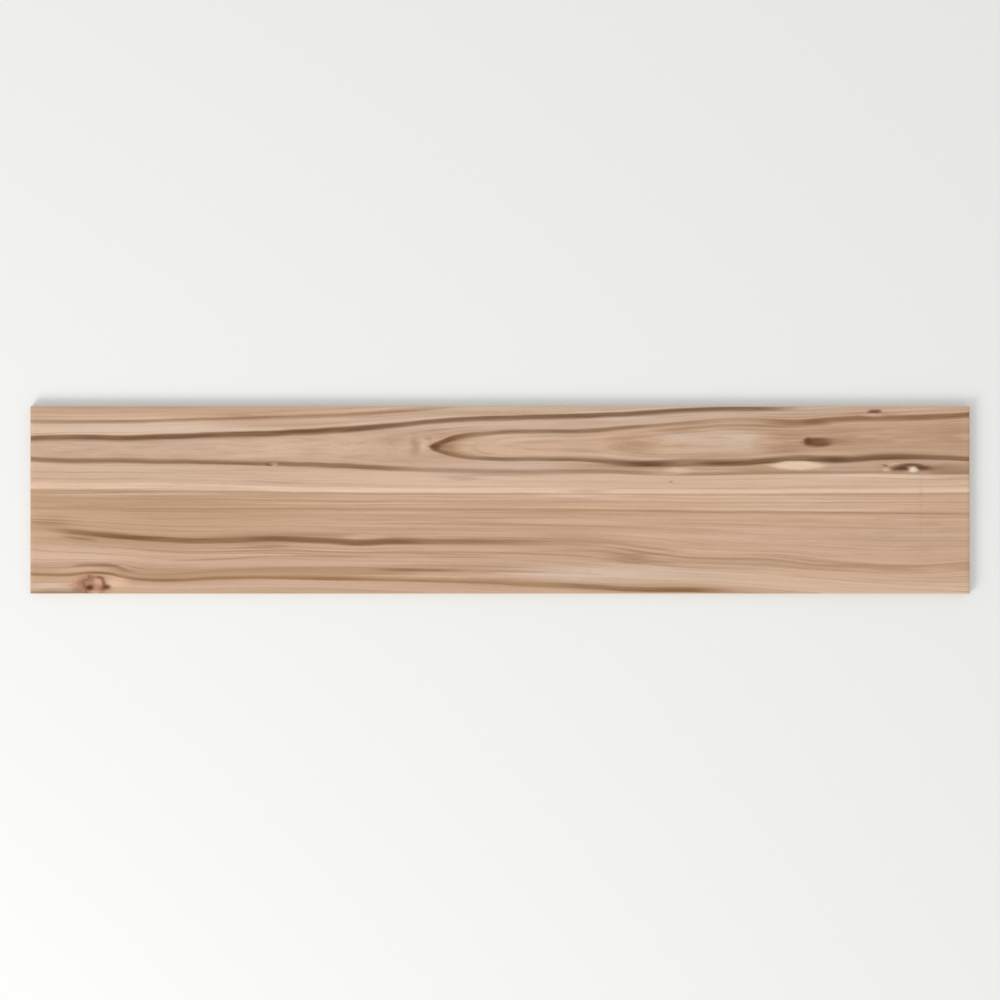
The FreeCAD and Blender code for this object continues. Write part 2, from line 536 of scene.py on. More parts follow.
# Bands are printed in the same way, but lie level with the wood round them
BANDS = [
    ("strip above the edge line", -37, UPPER, 25.0, 8.5, -560, 160, 60, 0.9, "edge tan"),
    ("strip over the tongue", -20, UPPER, 8.0, 5.0, -330, 420, 90, 0.8, "pale grey tan"),
    ("pale line", -33, LOWER, 3.3, 3.6, -700, 160, 120, 0.85, "bright sapwood"),
    ("pale line, right", -33, LOWER, 2.6, 3.4, 0, 700, 120, 0.5, "bright sapwood"),
    ("tan under the pale line, left", -44, LOWER, 9.0, 7.0, -700, -60, 300, 0.85, "brown tan"),
    ("tan under the pale line, right", -44, LOWER, 12.0, 9.0, -20, 760, 200, 0.85, "pale tan"),
    ("plain wood, right", -68, LOWER, 18.0, 16.0, 100, 800, 160, 0.7, "pink tan"),
    ("brown shade", -119, LOWER, 11.0, 9.0, -410, -60, 60, 0.95, "shade tan"),
    ("shade round the low dark line", -87, LOWER, 10.0, 9.0, -470, -60, 90, 0.5, "shade tan"),
    ("pale wood, low right", -110, LOWER, 18.0, 20.0, 140, 700, 120, 0.9, "pale sapwood"),
]
print("printed lines:", len(PRINTED_LINES), "bands:", len(BANDS))

# %% Depth of the grooves, kept on the face's points
def smooth_step(value, start, end):
    """0 before start, 1 past end, with a smooth rise between."""
    share = np.clip((value - start) / (end - start), 0, 1)
    return share * share * (3 - 2 * share)


LEAST_STEEPNESS = 0.2
CRISP_CORE = 0.35  # shares of the two widths over which a line has its full strength
SOFT_CORE = 0.2


def line_mask(along, ring, across, steepness, line):
    """How strongly one printed line shows at each place, from 0 to 1."""
    _, height, side, crisp, soft, start, end, fade, strength, _ = line
    away = (ring - height) / np.maximum(steepness, LEAST_STEEPNESS)
    profile = smooth_step(away, -crisp, -CRISP_CORE * crisp) * (1 - smooth_step(away, SOFT_CORE * soft, soft))
    window = smooth_step(along, start, start + fade) * (1 - smooth_step(along, end - fade, end))
    half = np.clip((across - HEART) / 3, -1, 1)
    return profile * window * np.clip(1 + side * half, 0, 1) * strength


def keep_grooves(mesh):
    """Adds the depth of the late wood grooves to the points, from 0 to 1."""
    count = len(mesh.vertices)
    grain = np.empty(count * 3, np.float32)
    mesh.attributes["grain"].data.foreach_get("vector", grain)
    along, ring, across = grain.reshape(-1, 3).T
    steepness = np.empty(count, np.float32)
    mesh.attributes["steepness"].data.foreach_get("value", steepness)
    masks = [line_mask(along, ring, across, steepness, line) for line in PRINTED_LINES]
    groove = mesh.attributes.new("groove", "FLOAT", "POINT")
    groove.data.foreach_set("value", np.max(masks, 0).astype(np.float32))
    return float(np.max(masks))


print("deepest groove, as a share:", round(keep_grooves(skin), 2))

# %% [markdown]
# ## The pressed relief
#
# The upper punch of the press leaves a shallow grain in the face. Geometry Nodes push each point of the
# face down: along the printed lines by the groove that its attribute holds, and between them by
# a noise stretched along the grain. Nothing rises above the level face, so the plank keeps its size.

# %% Embossing, by Geometry Nodes
GROOVE_DEPTH = 0.16 * MM
STREAK_DEPTH = 0.14 * MM
STREAK_SIZE = (1 / 90.0, 1 / 2.6, 1 / 300.0)  # per mm along, by ring height and across
GRAIN_SEED = 7.3


def emboss_tree():
    """Pushes the printed points down by their grooves and by streaks of noise."""
    inputs = {
        "Geometry": ("NodeSocketGeometry", None),
        "Groove Depth": (FLOAT, 0.0),
        "Streak Depth": (FLOAT, 0.0),
        "Streak Size": (VECTOR, (1.0, 1.0, 1.0)),
        "Seed": (FLOAT, 0.0),
        "Material": ("NodeSocketMaterial", None),
        "Face Index": ("NodeSocketInt", 0),
    }
    outputs = {"Geometry": "NodeSocketGeometry"}
    tree, given, result = node_group("Embossed grain", "GeometryNodeTree", inputs, outputs)

    def attribute(name, kind):
        node = add(tree, "GeometryNodeInputNamedAttribute", {"Name": name}, data_type=kind)
        return node.outputs["Attribute"]

    squeezed = moved(tree, "MULTIPLY", attribute("grain", "FLOAT_VECTOR"), given["Streak Size"])
    wave = {"Vector": squeezed, "W": given["Seed"], "Scale": 1.0, "Detail": 3.0, "Roughness": 0.55}
    streak = add(tree, "ShaderNodeTexNoise", wave, noise_dimensions="4D").outputs[0]
    hollow = ramp_to(tree, streak, 0.35, 0.75)
    depth = calc(tree, "MULTIPLY", hollow, given["Streak Depth"])
    depth = calc(tree, "MULTIPLY_ADD", attribute("groove", "FLOAT"), given["Groove Depth"], depth)
    down = add(tree, "ShaderNodeCombineXYZ", {"Z": calc(tree, "MULTIPLY", depth, -1.0)}).outputs["Vector"]
    printed = calc(tree, "GREATER_THAN", attribute("printed", "FLOAT"), 0.5)
    pressed = {"Geometry": given["Geometry"], "Selection": printed, "Offset": down}
    moved_points = add(tree, "GeometryNodeSetPosition", pressed).outputs["Geometry"]
    kind = add(tree, "GeometryNodeInputMaterialIndex").outputs["Material Index"]
    compared = {2: kind, 3: given["Face Index"]}
    is_face = add(tree, "FunctionNodeCompare", compared, data_type="INT", operation="EQUAL")
    real = add(tree, "GeometryNodeRealizeInstances", {"Geometry": moved_points}).outputs["Geometry"]
    paint = {"Geometry": real, "Selection": is_face.outputs["Result"], "Material": given["Material"]}
    tree.links.new(add(tree, "GeometryNodeSetMaterial", paint).outputs["Geometry"], result["Geometry"])
    return tree


printed_glaze = bpy.data.materials.new("printed_glaze")
ground_edge = bpy.data.materials.new("ground_edge")
for material in (printed_glaze, ground_edge, pressed_back):
    skin.materials.append(material)
carrier = bpy.data.objects.new("skin", skin)
bpy.context.scene.collection.objects.link(carrier)
embossed = run_tree(carrier, emboss_tree(), {
    "Groove Depth": GROOVE_DEPTH,
    "Streak Depth": STREAK_DEPTH,
    "Streak Size": STREAK_SIZE,
    "Seed": GRAIN_SEED,
    "Material": printed_glaze,
    "Face Index": FACE,
})
bpy.data.objects.remove(carrier)
heights = np.array([point.co.z / MM for point in embossed.vertices])
print("deepest grain, mm:", round(THICKNESS / MM - float(heights[: len(shares)].min()), 3))

# %% One piece: skin and lattice merged, its faces turned outwards
def join_meshes(first, second):
    """Both meshes as one, with points that coincide merged and faces turned outwards."""
    shape = bmesh.new()
    shape.from_mesh(first)
    before = len(shape.faces)
    shape.from_mesh(second)
    shape.faces.ensure_lookup_table()
    for face in shape.faces[before:]:
        face.material_index = BACK
    bmesh.ops.remove_doubles(shape, verts=shape.verts, dist=MERGE_WITHIN)
    bmesh.ops.recalc_face_normals(shape, faces=shape.faces)
    for face in shape.faces:
        face.smooth = face.material_index != EDGE
    open_edges = sum(not edge.is_manifold for edge in shape.edges)
    print("open edges:", open_edges, "volume, cm3:", round(shape.calc_volume() / MM**3 / 1000, 1))
    mesh = bpy.data.meshes.new("porcelain plank")
    shape.to_mesh(mesh)
    shape.free()
    return mesh


plank_mesh = join_meshes(embossed, lattice)
for material in (printed_glaze, ground_edge, pressed_back):
    plank_mesh.materials.append(material)
plank = bpy.data.objects.new("porcelain_plank", plank_mesh)
bpy.context.scene.collection.objects.link(plank)
triangles = sum(len(face.vertices) - 2 for face in plank_mesh.polygons)
print("triangles:", triangles)

# %% [markdown]
# ## A map for the bake
#
# When the model is exported, its materials are painted onto one square picture. A plank is five times
# longer than wide, and its face matters most, so the piece brings its own map: the face gets two thirds of
# the square, the back most of the rest, and the four ground edges a strip each.

# %% Places on the square picture: left, bottom, right, top
FACE_PLACE = (0.004, 0.345, 0.996, 0.996)
BACK_PLACE = (0.004, 0.004, 0.996, 0.258)
LONG_EDGE_PLACES = [(0.004, 0.318, 0.996, 0.336), (0.004, 0.292, 0.996, 0.310)]
END_PLACES = [(0.004, 0.266, 0.250, 0.284), (0.270, 0.266, 0.516, 0.284)]


def lay_out_map(mesh):
    """Gives the mesh a UV map that its materials can be baked through, with no overlaps."""
    corner_count = len(mesh.loops)
    vertex = np.empty(corner_count, np.int32)
    mesh.loops.foreach_get("vertex_index", vertex)
    points = np.empty(len(mesh.vertices) * 3, np.float32)
    mesh.vertices.foreach_get("co", points)
    sizes = [face.loop_total for face in mesh.polygons]
    kind = np.repeat([face.material_index for face in mesh.polygons], sizes)
    normal = np.repeat(np.array([face.normal for face in mesh.polygons]), sizes, 0)
    x, y, z = (points.reshape(-1, 3)[vertex] / [LENGTH, WIDTH, THICKNESS] + [0.5, 0.5, 0]).T
    is_end = np.abs(normal[:, 0]) > np.abs(normal[:, 1])
    uv = np.zeros((corner_count, 2))

    def place(chosen, across, up, corners):
        left, bottom, right, top = corners
        uv[chosen, 0] = left + (right - left) * across[chosen]
        uv[chosen, 1] = bottom + (top - bottom) * up[chosen]

    place(kind == FACE, x, y, FACE_PLACE)
    place(kind == BACK, x, y, BACK_PLACE)
    for side, sign in enumerate((-1, 1)):
        place((kind == EDGE) & ~is_end & (normal[:, 1] * sign > 0), x, z, LONG_EDGE_PLACES[side])
        place((kind == EDGE) & is_end & (normal[:, 0] * sign > 0), y, z, END_PLACES[side])
    layer = mesh.uv_layers.new(name="OFBake")
    layer.data.foreach_set("uv", uv.astype(np.float32).ravel())
    return uv.min(0), uv.max(0)


print("map spans:", [np.round(corner, 3).tolist() for corner in lay_out_map(plank_mesh)])

# %% [markdown]
# ## Colours
#
# The palette is short: a few tans for the early wood, a few browns for the late wood, and the clay.
# They are written as a paint chart gives them, from 0 to 255, and turned into the linear values that
# Blender's shaders calculate with.

# %% The palette
PALETTE = {
    "bright sapwood": (234, 203, 177),
    "pale sapwood": (219, 189, 163),
    "lens": (232, 203, 176),
    "grey heart": (206, 182, 158),
    "pale pink": (221, 195, 176),
    "pale tan": (215, 181, 154),
    "pink tan": (209, 175, 151),
    "edge tan": (197, 167, 141),
    "grey tan": (200, 170, 147),
    "pale grey tan": (208, 179, 157),
    "warm tan": (204, 168, 141),
    "tan": (202, 168, 139),
    "yellow tan": (197, 164, 132),
    "brown tan": (188, 152, 121),
    "shade tan": (181, 145, 116),
    "thin line": (160, 122, 92),
    "warm line": (150, 110, 74),
    "mid brown": (126, 88, 58),
    "line brown": (136, 98, 68),
    "dark line": (108, 76, 48),
    "deep brown": (104, 70, 43),
    "deepest brown": (94, 61, 32),
    "knot red": (164, 116, 88),
    "knot pale": (210, 168, 140),
    "knot ring": (132, 88, 60),
    "knot core": (92, 56, 28),
    "warm cream": (226, 187, 158),
    "cream": (240, 216, 194),
    "stain": (150, 118, 92),
    "grey shade": (150, 128, 106),
    "glaze rim": (202, 178, 150),
    "engobe": (231, 222, 206),
    "clay": (190, 173, 152),
    "fired clay": (176, 156, 132),
    "clay speck": (120, 98, 78),
    "kiln wash": (226, 220, 210),
    "studio floor": (238, 238, 237),
}


GLOSS_LEVEL = 0.3  # of the glaze and the clay, where 0.5 is a clear glass
SHEEN = 0.02  # light that they throw back by this gloss, on top of their colour
DARKEST_SHARE = 0.15


def colour(name):
    """A palette colour, as it should look, as the linear colour that a surface needs for it."""
    shares = [value / 255 for value in PALETTE[name]]
    linear = [share / 12.92 if share <= 0.04045 else ((share + 0.055) / 1.055) ** 2.4 for share in shares]
    return (*[max(value - SHEEN, value * DARKEST_SHARE) for value in linear], 1.0)


print("colours:", len(PALETTE))

# %% [markdown]
# ## Effects that the materials share
#
# Grain streaks, printed lines, soft spots and clay specks are each used many times. Each is a node group
# with named inputs, built once and placed with its own values.

# %% Streaks along the grain
def streak_group():
    """Noise stretched along the grain: long and narrow, by the lengths that it is given in mm."""
    inputs = {
        "Grain": (VECTOR, (0.0, 0.0, 0.0)),
        "Length": (FLOAT, 100.0),
        "Width": (FLOAT, 2.0),
        "Seed": (FLOAT, 0.0),
        "Detail": (FLOAT, 2.0),
    }
    tree, given, result = node_group("Grain streaks", "ShaderNodeTree", inputs, {"Value": FLOAT})
    # Over this many mm across the face a streak changes, so the two sides of the heart differ
    drift = calc(tree, "MULTIPLY", given["Width"], 14.0)
    lengths = add(tree, "ShaderNodeCombineXYZ", {"X": given["Length"], "Y": given["Width"], "Z": drift})
    squeezed = moved(tree, "DIVIDE", given["Grain"], lengths.outputs["Vector"])
    apart = add(tree, "ShaderNodeCombineXYZ", {"X": calc(tree, "MULTIPLY", given["Seed"], 31.7)})
    shifted = moved(tree, "ADD", squeezed, apart.outputs["Vector"])
    wave = {"Vector": shifted, "Scale": 1.0, "Detail": given["Detail"], "Roughness": 0.6}
    tree.links.new(add(tree, "ShaderNodeTexNoise", wave).outputs["Fac"], result["Value"])
    return tree


# %% One printed line
def line_group():
    """Mask of a line at one ring height: crisp below, soft above, and faded at both ends."""
    inputs = {
        "Along": (FLOAT, 0.0),
        "Ring": (FLOAT, 0.0),
        "Steepness": (FLOAT, 1.0),
        "Half": (FLOAT, 0.0),
        "Height": (FLOAT, 0.0),
        "Side": (FLOAT, 0.0),
        "Crisp": (FLOAT, 1.0),
        "Soft": (FLOAT, 2.0),
        "Start": (FLOAT, -500.0),
        "End": (FLOAT, 500.0),
        "Fade": (FLOAT, 50.0),
        "Strength": (FLOAT, 1.0),
    }
    tree, given, result = node_group("Printed line", "ShaderNodeTree", inputs, {"Mask": FLOAT})
    away = calc(tree, "SUBTRACT", given["Ring"], given["Height"])
    away = calc(tree, "DIVIDE", away, given["Steepness"])
    crisp_foot = calc(tree, "MULTIPLY", given["Crisp"], -1.0)
    below = ramp_to(tree, away, crisp_foot, calc(tree, "MULTIPLY", given["Crisp"], -CRISP_CORE))
    above = ramp_to(tree, away, calc(tree, "MULTIPLY", given["Soft"], SOFT_CORE), given["Soft"], 1.0, 0.0)
    faded_in = calc(tree, "ADD", given["Start"], given["Fade"])
    fading_out = calc(tree, "SUBTRACT", given["End"], given["Fade"])
    begins = ramp_to(tree, given["Along"], given["Start"], faded_in)
    ends = ramp_to(tree, given["Along"], fading_out, given["End"], 1.0, 0.0)
    on_side = calc(tree, "MULTIPLY_ADD", given["Half"], given["Side"], 1.0, clamp=True)
    mask = given["Strength"]
    for factor in (below, above, begins, ends, on_side):
        mask = calc(tree, "MULTIPLY", mask, factor)
    tree.links.new(mask, result["Mask"])
    return tree


# %% A soft spot, and a knot
def spot_group():
    """Mask of an oval spot with a soft edge, and the distance from its middle, 1 at its edge."""
    inputs = {
        "Place": (VECTOR, (0.0, 0.0, 0.0)),
        "Centre": (VECTOR, (0.0, 0.0, 0.0)),
        "Half Size": (VECTOR, (1.0, 1.0, 1.0)),
        "Softness": (FLOAT, 0.3),
    }
    outputs = {"Mask": FLOAT, "Distance": FLOAT}
    tree, given, result = node_group("Soft spot", "ShaderNodeTree", inputs, outputs)
    away = moved(tree, "SUBTRACT", given["Place"], given["Centre"])
    away = moved(tree, "DIVIDE", away, given["Half Size"])
    distance = add(tree, "ShaderNodeVectorMath", {0: away}, operation="LENGTH").outputs["Value"]
    outside = calc(tree, "ADD", 1.0, given["Softness"])
    inside = calc(tree, "SUBTRACT", 1.0, given["Softness"])
    tree.links.new(ramp_to(tree, distance, inside, outside, 1.0, 0.0), result["Mask"])
    tree.links.new(distance, result["Distance"])
    return tree


# %% Fired clay, as it shows on the ground edges and the back
def clay_group():
    """Colour and height of the fired clay: a fine sandy body with dark and pale specks."""
    inputs = {
        "Place": (VECTOR, (0.0, 0.0, 0.0)),
        "Body": ("NodeSocketColor", colour("clay")),
        "Dark Specks": (FLOAT, 0.5),
    }
    outputs = {"Color": "NodeSocketColor", "Height": FLOAT}
    tree, given, result = node_group("Fired clay", "ShaderNodeTree", inputs, outputs)
    coarse = {"Vector": given["Place"], "Scale": 0.05, "Detail": 3.0}
    cloud = add(tree, "ShaderNodeTexNoise", coarse).outputs["Fac"]
    grainy = {"Vector": given["Place"], "Scale": 1.6, "Detail": 2.0}
    sand = add(tree, "ShaderNodeTexNoise", grainy).outputs["Fac"]
    cells = add(tree, "ShaderNodeTexVoronoi", {"Vector": given["Place"], "Scale": 0.55})
    chance = add(tree, "ShaderNodeSeparateColor", {"Color": cells.outputs["Color"]}).outputs
    near = ramp_to(tree, cells.outputs["Distance"], 0.12, 0.26, 1.0, 0.0)
    dark = calc(tree, "MULTIPLY", near, calc(tree, "GREATER_THAN", chance["Red"], 0.72))
    pale = calc(tree, "MULTIPLY", near, calc(tree, "GREATER_THAN", chance["Green"], 0.78))
    tone = blend(tree, ramp_to(tree, cloud, 0.3, 0.7, 0.0, 0.5), given["Body"], colour("fired clay"))
    tone = blend(tree, ramp_to(tree, sand, 0.35, 0.7, 0.0, 0.35), tone, colour("engobe"))
    tone = blend(tree, calc(tree, "MULTIPLY", dark, given["Dark Specks"]), tone, colour("clay speck"))
    tone = blend(tree, calc(tree, "MULTIPLY", pale, 0.6), tone, colour("engobe"))
    tree.links.new(tone, result["Color"])
    tree.links.new(calc(tree, "MULTIPLY_ADD", dark, -0.5, sand), result["Height"])
    return tree


STREAKS, LINE, SPOT, CLAY = streak_group(), line_group(), spot_group(), clay_group()


def fill_group(tree, group, inputs):
    """A group node must know its group before its sockets can be filled."""
    node = add(tree, "ShaderNodeGroup", node_tree=group)
    for key, value in inputs.items():
        if isinstance(value, bpy.types.NodeSocket):
            tree.links.new(value, node.inputs[key])
        else:
            node.inputs[key].default_value = value
    return node.outputs


print("groups:", [group.name for group in (STREAKS, LINE, SPOT, CLAY)])

# %% [markdown]
# ## The printed face
#
# A printer lays the wood down in layers of ink, and the material does the same. First comes the tone
# of each growth zone, read from the ring height. Then come streaks from broad to fine, which only darken
# the tone a little, as a stain does. Then soft patches, the printed lines, the knots and the pores; a few
# patches near the ends and the low edge are painted shadow of the joint beside the plank. The glaze
# over it is matt and follows the same streaks, so gloss and relief agree with the print.

# %% Tones of the growth zones, by ring height from the low edge of the face to the heart
ZONE_TONES = [
    (-146, "yellow tan"), (-137, "pink tan"), (-131, "tan"), (-124, "brown tan"),
    (-117, "tan"), (-108, "pink tan"), (-99, "tan"), (-92, "tan"),
    (-86, "brown tan"), (-80, "tan"), (-68, "tan"), (-56, "yellow tan"),
    (-50, "tan"), (-41, "yellow tan"), (-36, "tan"), (-34.5, "bright sapwood"),
    (-31, "pale sapwood"), (-22, "pale sapwood"), (-14.5, "pale sapwood"), (-11, "grey tan"),
    (-6, "grey tan"), (-1, "tan"), (5, "pale tan"), (15, "pink tan"),
]
TONE_FROM, TONE_TO = -150, 30

# %% Patches: name, middle along and across, half length and height in mm, softness, colour, strength
PATCHES = [
    ("heart, grey", (238, 66), (66, 13), 0.6, "grey heart", 0.8),
    ("heart, brown", (440, 66), (125, 21), 0.55, "brown tan", 0.66),
    ("inner tip of the tongue", (142, 58), (23, 10), 0.8, "shade tan", 0.85),
    ("pale band above the zone line", (-400, 76), (130, 5), 0.7, "pale pink", 0.6),
    ("pale wood before the tip", (-200, 54), (70, 8), 0.8, "pale sapwood", 0.5),
    ("greyer sapwood, left", (-400, 27), (150, 9), 0.7, "grey tan", 0.55),
    ("shade under the belly", (140, 35), (80, 3.4), 0.6, "brown tan", 0.75),
    ("pale patch below the fan", (110, -78), (95, 8), 0.6, "pale pink", 0.95),
    ("pale wood under the tongue", (10, 37), (72, 4.4), 0.7, "pale pink", 0.45),
    ("brown shade, left", (-390, -20), (130, 15), 0.8, "brown tan", 0.35),
    ("smudge at the left end", (-480, -23), (24, 5.5), 0.8, "thin line", 0.5),
    ("shade inside the tip", (-55, 56.6), (13, 5), 0.9, "thin line", 0.7),
    ("pale wood over the tongue", (40, 79.5), (110, 4), 0.7, "pale pink", 0.5),
    ("pale strip over the tongue", (146, 85.6), (44, 3), 0.8, "pale pink", 0.8),
    ("pale strip over the tongue, right", (244, 90), (64, 3.8), 0.8, "pale pink", 0.7),
    ("grey crescent before the tip", (-90, 58), (5, 9), 0.8, "grey shade", 0.5),
    ("pale crescent before the tip", (-80.5, 57), (3.2, 5), 1.0, "pale pink", 0.6),
    ("faint shade before the tip", (-116, 60), (9, 7), 0.8, "stain", 0.2),
    ("shade over the tip", (-64, 68), (13, 2.6), 0.9, "thin line", 0.45),
    ("high shade in the heart", (276, 76.5), (52, 2.6), 0.8, "brown tan", 0.75),
    ("high shade in the heart, left", (196, 72.8), (24, 2.2), 0.8, "brown tan", 0.65),
    ("low shade in the heart", (222, 48.5), (30, 2.4), 0.8, "brown tan", 0.5),
    ("low fleck in the tongue", (130, 49), (46, 2.6), 0.8, "pale sapwood", 0.5),
    ("pale fleck in the heart", (196, 67), (24, 3.4), 0.8, "pale pink", 0.6),
    ("greyer wood over the zone line", (-235, 81), (60, 4.4), 0.6, "grey tan", 0.9),
    ("pink fleck in the heart", (262, 67), (26, 4.4), 0.8, "pale pink", 0.5),
    ("brown fleck in the heart", (188, 58), (12, 2), 0.8, "brown tan", 0.4),
    ("faint mark across the grain", (448, -6), (1.4, 27), 0.9, "thin line", 0.16),
    ("pale wood under the arch", (-436, -74), (28, 2.6), 0.7, "pale tan", 0.7),
    ("shade left of the lens", (276, 33), (26, 4), 0.7, "brown tan", 0.85),
    ("shade left of the dark eye", (304, 62), (26, 11), 0.8, "shade tan", 0.95),
    ("shade round the dark eye", (352, 67), (42, 5), 0.8, "shade tan", 0.5),
    # Partly darker wood, partly painted shadow of the joint at the plank's right end
    ("shade at the right end", (486, 70), (18, 13), 0.8, "shade tan", 0.5),
    ("shade right of the bright eye", (482, 33), (34, 4.6), 0.7, "thin line", 0.66),
    ("pale wood under the bright eye", (410, 26), (56, 3.2), 0.7, "bright sapwood", 1.0),
    ("shade at the right end, lower", (478, -9), (42, 4), 0.8, "yellow tan", 0.6),
    ("pale patch above the arch", (-455, -58), (70, 7), 0.7, "pale sapwood", 0.5),
    ("shade beside the arch", (-376, -75), (48, 6), 0.8, "shade tan", 0.65),
    ("shade under the dark line's start", (-420, -41.8), (64, 4.2), 0.8, "shade tan", 0.8),
    ("shade under the dark line", (-284, -48.6), (126, 3.2), 0.8, "shade tan", 0.65),
    ("shade over the dark line", (-226, -37), (80, 3.6), 0.7, "shade tan", 0.85),
    ("shade round the low brown line", (-340, -85.4), (72, 5), 0.8, "shade tan", 0.5),
    ("shade over the upper zone line", (-198, 78.8), (46, 2.8), 0.8, "brown tan", 0.45),
    ("shade under the upper zone line", (-284, 67), (50, 3), 0.8, "shade tan", 0.55),
    ("shade round the edge line", (-236, 90.4), (116, 3.6), 0.8, "brown tan", 0.55),
    ("shade over the upper zone line, right", (0, 92.4), (60, 2.6), 0.8, "brown tan", 0.5),
    ("shade round the lower zone line", (-340, 38.4), (110, 3), 0.8, "grey shade", 0.25),
    ("shade under the tip", (-72, 48), (20, 3.6), 0.9, "brown tan", 0.4),
    ("pale streak over the low brown line", (-60, -81.4), (88, 2), 0.8, "pale tan", 0.75),
    ("pale fleck in the tongue", (48, 54), (34, 3.4), 0.8, "pale tan", 0.6),
    ("pale fleck in the tongue, upper", (40, 66), (50, 4), 0.8, "pale pink", 0.4),
    ("pale wood under the pale line, left", (-334, 11.4), (56, 2.8), 0.8, "pale sapwood", 0.95),
    ("pale wood below the pale line", (200, 1.8), (330, 4.2), 0.5, "pale tan", 0.95),
    ("pale fleck below the pale line", (96, 6), (42, 6), 0.8, "bright sapwood", 0.7),
    ("second fleck below the pale line", (314, 0.8), (86, 4), 0.8, "pale sapwood", 0.6),
    ("shade under the lower zone line", (-230, 33.6), (52, 2.6), 0.8, "tan", 0.7),
    ("pale wood under the lower zone line", (-30, 24), (50, 2.8), 0.8, "pale pink", 0.45),
    ("shade over the brown line", (158, -9), (50, 2.8), 0.8, "yellow tan", 0.6),
    ("shade before the fan", (90, -38.8), (46, 3), 0.8, "shade tan", 0.5),
    ("pale wood, low right corner", (408, -78.8), (110, 5.6), 0.7, "pale tan", 0.9),
    ("shade over the dark eye", (324, 76), (56, 5.5), 0.8, "shade tan", 0.85),
    ("brown wood on the tongue's upper line", (342, 87.4), (84, 3.8), 0.8, "shade tan", 0.65),
    ("pale streak, right of the middle", (228, -20.8), (200, 4), 0.7, "pale tan", 0.9),
    ("pale wood over the fan", (226, -35.4), (104, 6), 0.8, "pale tan", 0.9),
    ("pale wood above the fan's start", (140, -48.6), (42, 2.4), 0.8, "pale tan", 0.7),
    ("pale wood in the fan", (216, -56), (52, 4), 0.8, "pale tan", 0.75),
    ("pale wood under the fan", (160, -86), (62, 3.2), 0.8, "pale sapwood", 0.75),
    ("shade over the short streak", (-62, -71), (76, 3.4), 0.8, "shade tan", 0.6),
    ("second short streak", (10, -75.8), (52, 1.5), 0.8, "thin line", 0.45),
    ("first stroke of the fan", (76, -54.4), (46, 1.3), 0.8, "thin line", 0.4),
    ("second stroke of the fan", (142, -57.4), (40, 1.4), 0.8, "thin line", 0.4),
    ("third stroke of the fan", (150, -66), (22, 1.2), 0.8, "thin line", 0.4),
    # Partly darker wood left of the knot, partly painted shadow of the joint at the plank's left end
    ("darker wood and painted joint shadow, left end", (-482, -84), (28, 6), 0.8, "yellow tan", 0.8),
    ("pale strip in the corner", (-478, -91), (20, 2.8), 0.7, "pale pink", 0.8),
    # Painted shadow: the joint beside the plank darkens the low edge here to a grey strip
    ("painted joint shadow on the low edge, left end", (-472, -98.6), (30, 3.6), 0.6, "grey shade", 0.8),
    ("pale lens on the dark line", (-142, -39.2), (22, 2.6), 0.4, "pink tan", 0.85),
    ("end of the fan", (136, -62), (20, 3.8), 0.8, "thin line", 0.55),
    ("red shade by the small eye", (392, 91), (26, 3.6), 0.7, "knot red", 0.45),
    ("pale wood right of the knot", (-409, -87), (12, 5), 0.7, "warm cream", 0.9),
    ("red shade left of the knot", (-459, -86), (9, 4), 0.7, "knot pale", 0.6),
]

